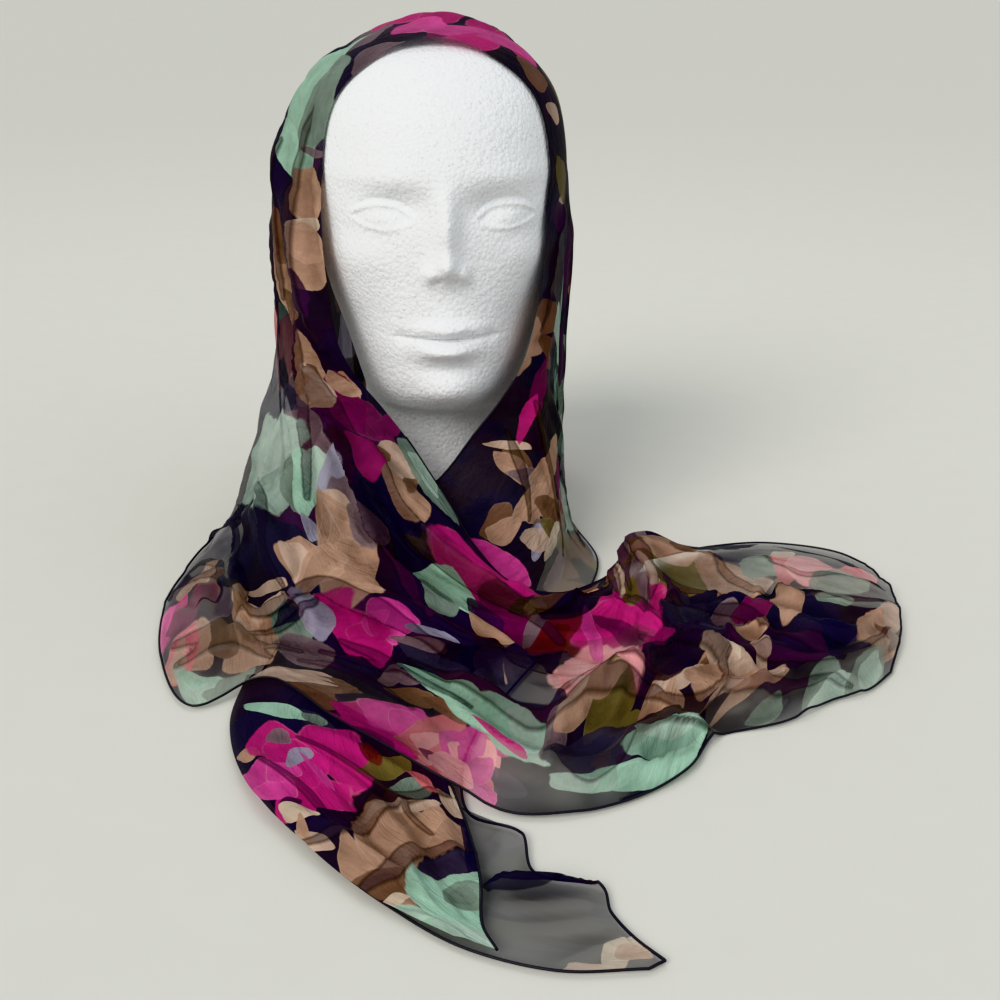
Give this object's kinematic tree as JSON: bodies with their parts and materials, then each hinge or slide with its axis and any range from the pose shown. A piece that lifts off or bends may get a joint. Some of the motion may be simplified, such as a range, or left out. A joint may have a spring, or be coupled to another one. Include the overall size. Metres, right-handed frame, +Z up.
{
  "type": "chiffon scarf on a foam head stand",
  "caption": "Long sheer chiffon scarf with a floral print, worn as a hood over a white foam display head, its ends crossed at the chest and trailing over the table.",
  "frame": {"origin": "middle of the foam head's flat base, on the table", "axes": "+Z up, -Y the way the face looks, +X the face's own left, which is the viewer's right"},
  "size_m": [0.3911, 0.5759, 0.2949],
  "materials": {
    "printed_chiffon": "sheer, printed, soft satin sheen",
    "white_foam": "moulded expanded polystyrene beads, matte"
  },
  "bodies": {
    "root": {"head_form": "white_foam", "hood": "printed_chiffon", "left_spread": "printed_chiffon", "chest": "printed_chiffon", "right_tail": "printed_chiffon", "right_fall": "printed_chiffon", "under_chest": "printed_chiffon", "front_tail": "printed_chiffon", "tail_fold_over": "printed_chiffon"}
  },
  "joints": []
}
